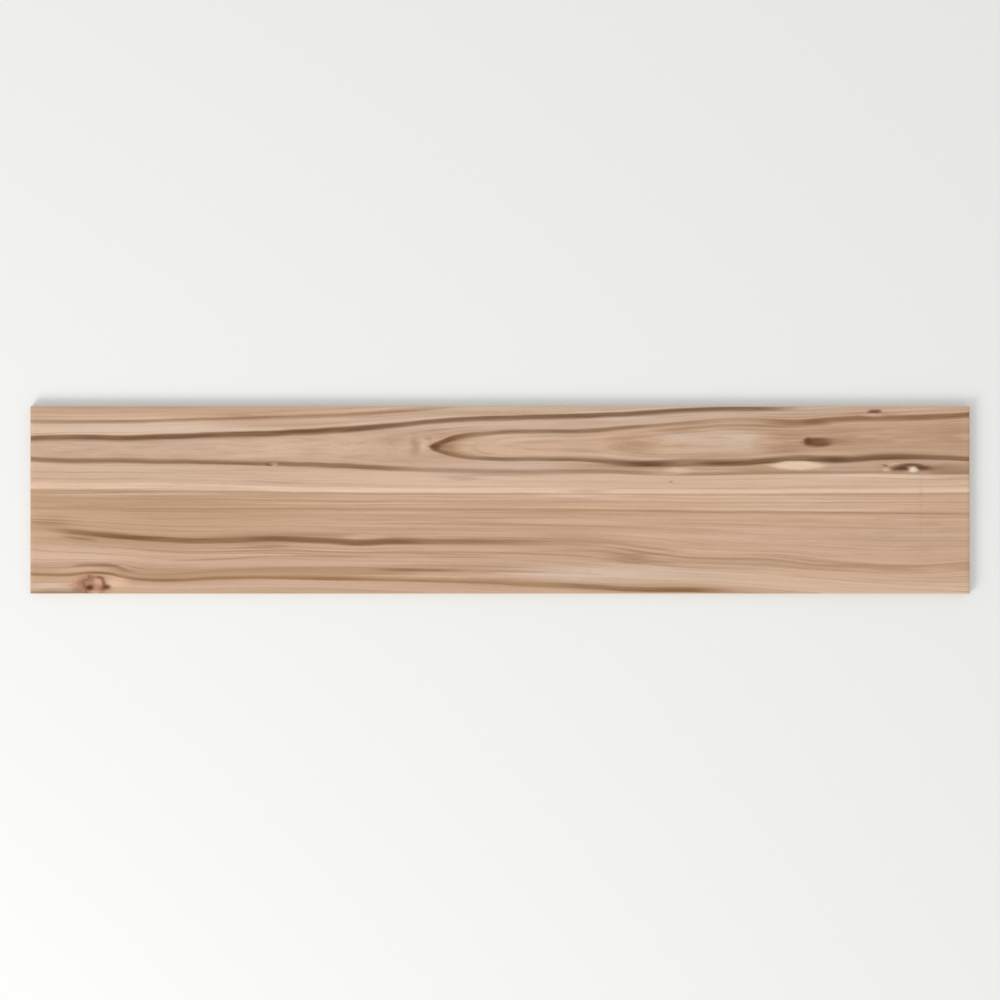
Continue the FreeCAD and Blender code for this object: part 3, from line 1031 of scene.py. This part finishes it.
# %% Small eyes, drawn over the lines
EYES = [
    ("pale lens on the tongue", (317, 36.8), (28, 4.4), 0.3, "lens", 0.9),
    ("dark tip", (-69.6, 56), (4.8, 3.2), 0.8, "deep brown", 0.7),
    ("fleck above the tip", (-77, 65.5), (3, 1.6), 0.8, "thin line", 0.5),
    ("dark eye", (338, 61.3), (15.5, 5), 0.45, "deep brown", 0.9),
    ("blunt end of the dark eye", (328.5, 62), (5, 4), 0.4, "deep brown", 0.8),
    ("tail of the dark eye", (358, 62.2), (16, 2.8), 0.8, "line brown", 0.6),
    ("long tail of the dark eye", (384, 63), (26, 2.6), 0.9, "shade tan", 0.6),
    ("shade over the dark eye", (337, 82.5), (13, 2.8), 0.8, "dark line", 0.4),
    ("dark knot in the line", (357, 43.2), (15, 3.4), 0.8, "deepest brown", 0.55),
    ("small eye", (400, 94), (6, 1.9), 0.6, "deepest brown", 0.8),
    ("pale wood under the small eye", (397, 90.4), (10, 1.5), 0.8, "pale tan", 0.6),
    ("gap in the zone line", (190, 31.8), (14, 2.8), 0.6, "pale sapwood", 0.75),
    ("dark stretch of the upper zone line", (84, 89.6), (26, 1.8), 0.8, "dark line", 0.35),
    ("dark stretch of it, left", (4, 88.2), (36, 1.6), 0.8, "dark line", 0.25),
    ("thin stretch of the tongue's line", (234, 39.6), (26, 1.3), 0.8, "deep brown", 0.55),
    ("first core of the dark line", (-390, -40), (26, 1.6), 0.8, "deepest brown", 0.35),
    ("second core of the dark line", (-238, -41.3), (22, 1.6), 0.8, "deepest brown", 0.3),
    ("dark middle of the arch", (-418, -69.8), (14, 1.4), 0.8, "line brown", 0.4),
    ("shade round the bright eye", (440, 34), (30, 3.6), 0.8, "line brown", 0.6),
    ("ring of the bright eye, left", (428, 33.6), (10, 2.6), 0.8, "deepest brown", 0.95),
    ("ring of the bright eye, top", (438, 36.8), (10, 1.6), 0.8, "deepest brown", 0.8),
    ("ring of the bright eye, right", (450, 34.2), (9, 2.6), 0.8, "deep brown", 0.9),
    ("bright eye", (438.6, 32.4), (5.4, 2.7), 0.6, "cream", 0.92),
    ("pale corner of the bright eye", (411, 32.6), (5, 2), 0.7, "pale sapwood", 0.7),
    ("pale stroke of the bright eye", (420, 38.6), (6, 1), 0.8, "pale sapwood", 0.6),
    ("hook beside the bright eye", (408.5, 37.2), (2.8, 1.4), 0.7, "line brown", 0.7),
    ("nick in the zone line", (-246, 37.6), (3.0, 1.4), 0.6, "deep brown", 0.5),
    ("gap beside the nick", (-240, 37.4), (2.6, 1.8), 0.8, "pale sapwood", 0.4),
    ("mark under the zone line", (183, 19.5), (2.4, 1.0), 0.7, "thin line", 0.6),
]

# %% The knot at the low edge
KNOT_BODY = ((-435.5, -93, 0), (18.5, 13, 1), 0.4)  # middle, half size and softness
KNOT_RING = ((-431.5, -92.5, 0), (11, 11, 1), 0.3)
KNOT_CORES = [
    ("pale swirl", (-427.5, -87), (4.4, 3.4), 0.7, "knot pale", 0.8),
    ("core", (-436.5, -93.2), (4.0, 2.5), 0.6, "knot core", 0.95),
    ("arch of the ring, top", (-426.4, -82.4), (2.8, 1.3), 0.8, "knot ring", 0.8),
    ("arch of the ring, shoulder", (-423.2, -84.4), (1.8, 1.9), 0.8, "knot ring", 0.75),
    ("arch of the ring, right", (-421.4, -88), (1.6, 3.2), 0.8, "knot ring", 0.8),
    ("side core", (-418.8, -92.8), (4.4, 2.5), 0.7, "knot core", 0.85),
    # Painted shadow of the joint along the low edge under the knot, in a grey tone
    ("painted joint shadow under the knot", (-430, -98.4), (6, 2.4), 0.8, "grey heart", 0.5),
    ("fleck above the core", (-437.5, -81), (2, 1.4), 0.7, "knot ring", 0.6),
    ("dark foot", (-449, -97.5), (5, 3.4), 0.7, "grey shade", 0.8),
]
print("patches:", len(PATCHES), "eyes:", len(EYES))

# %% The print, layer by layer
def spot(tree, place, centre, half_size, softness):
    """Outputs of the spot group."""
    where = {"Place": place, "Centre": centre, "Half Size": half_size, "Softness": softness}
    return fill_group(tree, SPOT, where)


def spots_over(tree, tone, place, spots):
    """Blends a list of soft spots over a colour."""
    for _, centre, half_size, softness, name, strength in spots:
        mask = spot(tree, place, (*centre, 0), (*half_size, 1), softness)["Mask"]
        tone = blend(tree, calc(tree, "MULTIPLY", mask, strength), tone, colour(name))
    return tone


def lines_over(tree, tone, where, lines, evenness):
    """Blends a list of printed lines over a colour, and also returns their masks as one."""
    together = 0.0
    for _, height, side, crisp, soft, start, end, fade, strength, name in lines:
        values = where | {
            "Height": height, "Side": side, "Crisp": crisp, "Soft": soft,
            "Start": start, "End": end, "Fade": fade, "Strength": strength,
        }
        mask = calc(tree, "MULTIPLY", fill_group(tree, LINE, values)["Mask"], evenness)
        tone = blend(tree, mask, tone, colour(name))
        together = calc(tree, "MAXIMUM", together, mask)
    return tone, together


def knot_over(tree, tone, flat, place, gentle):
    """The knot: a red-brown body with uneven rings, dark cores and a pale swirl, and painted joint shadow
    under it.
    """
    body = spot(tree, place, *KNOT_BODY)
    ring = spot(tree, place, *KNOT_RING)
    rough_place = moved(tree, "MULTIPLY", flat, (1 / 7.0, 1 / 4.5, 0.0))
    rough = add(tree, "ShaderNodeTexNoise", {"Vector": rough_place, "Scale": 1.0, "Detail": 3.0}).outputs[0]
    wood = blend(tree, ramp_to(tree, rough, 0.4, 0.7, 0.0, 0.4), colour("knot red"), colour("knot pale"))
    turned = calc(tree, "MULTIPLY_ADD", rough, 8.0, calc(tree, "MULTIPLY", ring["Distance"], 26.0))
    turns = calc(tree, "SINE", turned)
    wood = blend(tree, ramp_to(tree, turns, 0.0, 1.0, 0.0, 0.3), wood, colour("knot ring"))
    from_ring = calc(tree, "ABSOLUTE", calc(tree, "SUBTRACT", ring["Distance"], 1.0))
    wood = blend(tree, ramp_to(tree, from_ring, 0.0, 0.3, 0.75, 0.0), wood, colour("knot ring"))
    tone = blend(tree, calc(tree, "MULTIPLY", body["Mask"], 0.9), tone, wood)
    return spots_over(tree, tone, moved(tree, "ADD", flat, gentle), KNOT_CORES)


def streaks(tree, grain, length, width, seed, detail=2.0):
    """Output of the streak group."""
    values = {"Grain": grain, "Length": length, "Width": width, "Seed": seed, "Detail": detail}
    return fill_group(tree, STREAKS, values)["Value"]


def zone_tone(tree, ring):
    """The tone of the growth zone, from a colour ramp over the ring height."""
    share = add(tree, "ShaderNodeMapRange", {"Value": ring, "From Min": TONE_FROM, "From Max": TONE_TO})
    ramp = add(tree, "ShaderNodeValToRGB", {"Fac": share.outputs["Result"]})
    stops = ramp.color_ramp.elements
    while len(stops) < len(ZONE_TONES):
        stops.new(0.5)
    for stop, (height, name) in zip(stops, ZONE_TONES):
        stop.position = (height - TONE_FROM) / (TONE_TO - TONE_FROM)
        stop.color = colour(name)
    return ramp.outputs["Color"]


def stain(tree, tone, amount):
    """Darkens a colour towards brown, as a stain does."""
    return blend(tree, amount, tone, colour("stain"), "MULTIPLY")


def printed_face(material):
    """The decorated face: a wood print under a matt glaze."""
    material.use_nodes = True
    tree = material.node_tree
    shader = tree.nodes["Principled BSDF"]
    grain = add(tree, "ShaderNodeAttribute", attribute_name="grain").outputs["Vector"]
    along, ring, across = add(tree, "ShaderNodeSeparateXYZ", {"Vector": grain}).outputs
    steepness = add(tree, "ShaderNodeAttribute", attribute_name="steepness").outputs["Fac"]
    half = ramp_to(tree, across, HEART - 3, HEART + 3, -1.0, 1.0)

    # Places on the face, moved about a little so that no patch is a clean oval
    flat = add(tree, "ShaderNodeCombineXYZ", {"X": along, "Y": across}).outputs["Vector"]
    swirl_place = moved(tree, "MULTIPLY", flat, (1 / 16.0, 1 / 5.0, 0.0))
    swirl = add(tree, "ShaderNodeTexNoise", {"Vector": swirl_place, "Scale": 1.0, "Detail": 2.0})
    shift = moved(tree, "SUBTRACT", swirl.outputs["Color"], (0.5, 0.5, 0.5))
    place = moved(tree, "ADD", flat, moved(tree, "MULTIPLY", shift, (12.0, 3.0, 0.0)))

    # Where the rings lie wide, as round the heart, the wood is calmer
    lively = ramp_to(tree, steepness, 0.12, 0.55, 0.25, 1.0)

    # Tone of the zones, with their borders made uneven
    uneven = streaks(tree, grain, 240.0, 9.0, 1.0)
    tone = zone_tone(tree, calc(tree, "MULTIPLY_ADD", calc(tree, "SUBTRACT", uneven, 0.5), 5.0, ring))
    cloud = streaks(tree, grain, 420.0, 34.0, 2.0, 1.0)
    tone = blend(tree, ramp_to(tree, cloud, 0.42, 0.72, 0.0, 0.5), tone, colour("pink tan"))
    tone = blend(tree, ramp_to(tree, cloud, 0.5, 0.25, 0.0, 0.3), tone, colour("yellow tan"))
    wander = add(tree, "ShaderNodeSeparateXYZ", {"Vector": shift}).outputs["Z"]
    wavy_ring = calc(tree, "MULTIPLY_ADD", wander, 2.2, ring)
    level = {"Along": along, "Ring": wavy_ring, "Steepness": 1.0, "Half": half}
    tone, _ = lines_over(tree, tone, level, BANDS, 1.0)
    tone = spots_over(tree, tone, place, PATCHES)

    # The calm wood near the heart is cloudy instead of streaked
    calm = ramp_to(tree, steepness, 0.3, 0.85, 1.0, 0.0)
    mottle_place = moved(tree, "MULTIPLY", flat, (1 / 44.0, 1 / 5.0, 0.0))
    mottle = add(tree, "ShaderNodeTexNoise", {"Vector": mottle_place, "Scale": 1.0, "Detail": 1.0}).outputs[0]
    pale = calc(tree, "MULTIPLY", ramp_to(tree, mottle, 0.48, 0.75, 0.0, 0.55), calm)
    tone = blend(tree, pale, tone, colour("pale tan"))
    dim = calc(tree, "MULTIPLY", ramp_to(tree, mottle, 0.5, 0.25, 0.0, 0.5), calm)
    tone = blend(tree, dim, tone, colour("brown tan"))

    # Streaks, from broad to fine
    broad = streaks(tree, grain, 380.0, 6.5, 3.0)
    middle = streaks(tree, grain, 230.0, 2.1, 4.0)
    fine = streaks(tree, grain, 90.0, 0.7, 5.0, 3.0)
    amount = ramp_to(tree, broad, 0.42, 0.75, 0.0, 0.12)
    amount = calc(tree, "ADD", amount, ramp_to(tree, middle, 0.45, 0.8, 0.0, 0.2))
    amount = calc(tree, "ADD", amount, ramp_to(tree, fine, 0.45, 0.8, 0.0, 0.14), clamp=True)
    tone = stain(tree, tone, calc(tree, "MULTIPLY", amount, lively))
    fibres = streaks(tree, grain, 26.0, 0.26, 10.0, 2.0)
    tone = stain(tree, tone, ramp_to(tree, fibres, 0.45, 0.8, 0.0, 0.16))
    light = ramp_to(tree, streaks(tree, grain, 300.0, 1.7, 6.0), 0.50, 0.8, 0.0, 0.45)
    lit = calc(tree, "MULTIPLY", light, ramp_to(tree, steepness, 0.2, 0.6))
    tone = blend(tree, lit, tone, colour("bright sapwood"))

    # Thin growth lines between the printed ones, where a smooth noise crosses its middle
    meander = streaks(tree, grain, 900.0, 11.0, 7.0, 1.0)
    near_middle = calc(tree, "ABSOLUTE", calc(tree, "SUBTRACT", meander, 0.5))
    presence = ramp_to(tree, streaks(tree, grain, 160.0, 8.0, 8.0), 0.4, 0.65, 0.04, 0.3)
    growth = calc(tree, "MULTIPLY", ramp_to(tree, near_middle, 0.0, 0.03, 1.0, 0.0), presence)
    tone = stain(tree, tone, calc(tree, "MULTIPLY", growth, lively))

    # The listed lines, uneven along their length
    press = ramp_to(tree, streaks(tree, grain, 80.0, 5.0, 9.0), 0.3, 0.6, 0.78, 1.0)
    press = calc(tree, "MULTIPLY", press, ramp_to(tree, fine, 0.35, 0.65, 0.86, 1.0))
    thick = calc(tree, "MULTIPLY_ADD", calc(tree, "SUBTRACT", middle, 0.5), 1.0, ring)
    wide = calc(tree, "MAXIMUM", steepness, LEAST_STEEPNESS)
    where = {"Along": along, "Ring": thick, "Steepness": wide, "Half": half}
    tone, lines = lines_over(tree, tone, where, PRINTED_LINES, press)
    tone = knot_over(tree, tone, flat, place, moved(tree, "MULTIPLY", shift, (3.0, 1.0, 0.0)))
    tone = spots_over(tree, tone, place, EYES)

    # Pores: short dark dashes, straight along the board
    dash_place = moved(tree, "DIVIDE", flat, (11.0, 0.42, 1.0))
    dash = add(tree, "ShaderNodeTexNoise", {"Vector": dash_place, "Scale": 1.0, "Detail": 1.0}).outputs["Fac"]
    pores = ramp_to(tree, dash, 0.66, 0.76, 0.0, 0.28)
    tone = stain(tree, tone, pores)

    gloss = ramp_to(tree, middle, 0.3, 0.7, 0.42, 0.54)
    gloss = calc(tree, "MULTIPLY_ADD", lines, 0.08, gloss)
    skin_place = add(tree, "ShaderNodeTexCoord").outputs["Object"]
    peel = add(tree, "ShaderNodeTexNoise", {"Vector": skin_place, "Scale": 900.0, "Detail": 1.0}).outputs[0]
    height = calc(tree, "MULTIPLY_ADD", fine, -0.9, calc(tree, "MULTIPLY", peel, 0.10))
    height = calc(tree, "MULTIPLY_ADD", fibres, -0.4, height)
    height = calc(tree, "MULTIPLY_ADD", pores, -1.2, height)
    bump = add(tree, "ShaderNodeBump", {"Strength": 0.6, "Distance": 0.12 * MM, "Height": height})
    tree.links.new(tone, shader.inputs["Base Color"])
    tree.links.new(gloss, shader.inputs["Roughness"])
    tree.links.new(bump.outputs["Normal"], shader.inputs["Normal"])
    shader.inputs["Specular IOR Level"].default_value = GLOSS_LEVEL
    return len(tree.nodes)


print("nodes in the printed face:", printed_face(printed_glaze))

# %% [markdown]
# ## The ground edges
#
# A diamond wheel grinds the four edges square after firing, so they show the clay, with fine scratches
# that run along the edge. At the top the cut passes through the glaze and the thin white slip under
# it, which show as two lines, also on the bevel.

# %% Edge: layers by height, and grinding scratches
GLAZE_THICKNESS = 0.30 * MM
SLIP_THICKNESS = 0.25 * MM


def ground_clay(material):
    """The rectified edges and the bevels."""
    material.use_nodes = True
    tree = material.node_tree
    shader = tree.nodes["Principled BSDF"]
    place = add(tree, "ShaderNodeTexCoord").outputs["Object"]
    in_mm = moved(tree, "MULTIPLY", place, (1 / MM,) * 3)
    x, y, z = add(tree, "ShaderNodeSeparateXYZ", {"Vector": place}).outputs
    clay = fill_group(tree, CLAY, {"Place": in_mm, "Body": colour("clay"), "Dark Specks": 0.55})
    run = calc(tree, "ADD", x, y)
    stretched = {"X": calc(tree, "MULTIPLY", run, 60.0), "Y": calc(tree, "MULTIPLY", z, 5200.0)}
    wheel_place = add(tree, "ShaderNodeCombineXYZ", stretched).outputs["Vector"]
    wheel = {"Vector": wheel_place, "Scale": 1.0, "Detail": 3.0, "Roughness": 0.65}
    scratch = add(tree, "ShaderNodeTexNoise", wheel).outputs["Fac"]
    tone = blend(tree, ramp_to(tree, scratch, 0.45, 0.75, 0.0, 0.35), clay["Color"], colour("engobe"))
    ripple = add(tree, "ShaderNodeTexNoise", {"Vector": in_mm, "Scale": 0.3, "Detail": 2.0}).outputs["Fac"]
    level = calc(tree, "MULTIPLY_ADD", calc(tree, "SUBTRACT", ripple, 0.5), 0.12 * MM, z)
    glaze_foot = THICKNESS - GLAZE_THICKNESS
    slip_foot = glaze_foot - SLIP_THICKNESS
    blur = 0.06 * MM
    tone = blend(tree, ramp_to(tree, level, slip_foot - blur, slip_foot + blur), tone, colour("engobe"))
    glazed = ramp_to(tree, level, glaze_foot - blur, glaze_foot + blur)
    tone = blend(tree, glazed, tone, colour("glaze rim"))
    dull = ramp_to(tree, scratch, 0.3, 0.7, 0.55, 0.72)
    gloss = calc(tree, "MULTIPLY_ADD", glazed, -0.2, dull)
    height = calc(tree, "MULTIPLY_ADD", scratch, 0.8, clay["Height"])
    bump = add(tree, "ShaderNodeBump", {"Strength": 0.5, "Distance": 0.05 * MM, "Height": height})
    tree.links.new(tone, shader.inputs["Base Color"])
    tree.links.new(gloss, shader.inputs["Roughness"])
    tree.links.new(bump.outputs["Normal"], shader.inputs["Normal"])
    shader.inputs["Specular IOR Level"].default_value = GLOSS_LEVEL
    return len(tree.nodes)


print("nodes in the ground edge:", ground_clay(ground_edge))

# %% [markdown]
# ## The pressed back
#
# The back is bare clay. Before firing, its ribs are dusted with a white kiln wash so that they don't stick to
# the rollers, and the rollers rub it off again in places. The pockets stay darker, and a little less rough
# than the washed ribs.

# %% Back: clay in the pockets, rubbed kiln wash on the ribs
def washed_clay(material):
    """The bare back of the plank."""
    material.use_nodes = True
    tree = material.node_tree
    shader = tree.nodes["Principled BSDF"]
    place = add(tree, "ShaderNodeTexCoord").outputs["Object"]
    in_mm = moved(tree, "MULTIPLY", place, (1 / MM,) * 3)
    z = add(tree, "ShaderNodeSeparateXYZ", {"Vector": place}).outputs["Z"]
    clay = fill_group(tree, CLAY, {"Place": in_mm, "Body": colour("clay"), "Dark Specks": 0.7})
    rib = ramp_to(tree, z, 0.06 * MM, 0.3 * MM, 1.0, 0.0)
    patchy = {"Vector": in_mm, "Scale": 0.045, "Detail": 5.0}
    worn = add(tree, "ShaderNodeTexNoise", patchy).outputs["Fac"]
    rubbed_place = moved(tree, "MULTIPLY", in_mm, (0.35, 0.012, 0.0))
    rubbed = add(tree, "ShaderNodeTexNoise", {"Vector": rubbed_place, "Scale": 1.0, "Detail": 3.0}).outputs[0]
    kept = calc(tree, "ADD", worn, calc(tree, "MULTIPLY", rubbed, 0.7))
    wash = calc(tree, "MULTIPLY", rib, ramp_to(tree, kept, 0.72, 0.98, 0.15, 0.9))
    pocket = calc(tree, "MULTIPLY_ADD", rib, -0.45, 0.45)
    tone = blend(tree, pocket, clay["Color"], colour("fired clay"))
    tone = blend(tree, wash, tone, colour("kiln wash"))
    gloss = ramp_to(tree, wash, 0.0, 1.0, 0.78, 0.9)
    bump = add(tree, "ShaderNodeBump", {"Strength": 0.7, "Distance": 0.08 * MM, "Height": clay["Height"]})
    tree.links.new(tone, shader.inputs["Base Color"])
    tree.links.new(gloss, shader.inputs["Roughness"])
    tree.links.new(bump.outputs["Normal"], shader.inputs["Normal"])
    shader.inputs["Specular IOR Level"].default_value = GLOSS_LEVEL
    return len(tree.nodes)


print("nodes in the pressed back:", washed_clay(pressed_back))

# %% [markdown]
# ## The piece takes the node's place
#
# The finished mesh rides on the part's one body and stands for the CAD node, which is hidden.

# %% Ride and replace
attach(plank, "root")
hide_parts(NODE)
print(plank.name, "stands for", NODE)

# %% [markdown]
# ## Floor, light and camera
#
# The plank lies on a plain pale floor. The sky of the studio is an even soft light, so the print shows
# its true colours, and one large lamp from the low left rakes across the face and brings out the
# relief. The camera looks straight down, from far enough that the edges stay out of sight.

# %% Studio
FLOOR_SIZE = 12.0
SKY_STRENGTH = 0.77
KEY_PLACE = (-2.4, -2.6, 2.2)
KEY_SIZE = 1.8
KEY_POWER = 92.0


def studio_floor():
    """A plain floor just under the plank."""
    mesh = bpy.data.meshes.new("studio floor")
    reach = FLOOR_SIZE / 2
    corners = [(-reach, -reach, 0), (reach, -reach, 0), (reach, reach, 0), (-reach, reach, 0)]
    mesh.from_pydata(corners, [], [(0, 1, 2, 3)])
    floor = bpy.data.objects.new("studio_floor", mesh)
    floor.location.z = -0.2 * MM
    bpy.context.scene.collection.objects.link(floor)
    material = bpy.data.materials.new("studio_floor")
    material.use_nodes = True
    shader = material.node_tree.nodes["Principled BSDF"]
    shader.inputs["Base Color"].default_value = colour("studio floor")
    shader.inputs["Roughness"].default_value = 0.9
    mesh.materials.append(material)
    return floor


def studio_light():
    """An even sky and one large raking lamp."""
    world = bpy.data.worlds.new("studio sky")
    world.use_nodes = True
    sky = world.node_tree.nodes["Background"]
    sky.inputs["Color"].default_value = (1.0, 1.0, 1.0, 1.0)
    sky.inputs["Strength"].default_value = SKY_STRENGTH
    bpy.context.scene.world = world
    lamp = bpy.data.lights.new("key", "AREA")
    lamp.shape = "SQUARE"
    lamp.size = KEY_SIZE
    lamp.energy = KEY_POWER
    key = bpy.data.objects.new("key", lamp)
    key.location = KEY_PLACE
    key.rotation_euler = (-Vector(KEY_PLACE)).to_track_quat("-Z", "Y").to_euler()
    bpy.context.scene.collection.objects.link(key)


studio_floor()
studio_light()
bpy.context.scene.view_settings.view_transform = "Standard"
print("studio ready")

# %% Camera, straight above the middle of the face
LENS = 85.0
SENSOR = 36.0
PLANK_SHARE = 0.94  # of the picture's width that the plank takes up


def camera_above():
    """A long lens that looks straight down, with the plank's length across the picture."""
    data = bpy.data.cameras.new("camera")
    data.lens = LENS
    data.sensor_width = SENSOR
    camera = bpy.data.objects.new("camera", data)
    distance = LENGTH / PLANK_SHARE * LENS / SENSOR
    camera.location = (0, 0, THICKNESS + distance)
    bpy.context.scene.collection.objects.link(camera)
    bpy.context.scene.camera = camera
    return distance


print("camera stands off, m:", round(camera_above(), 2))
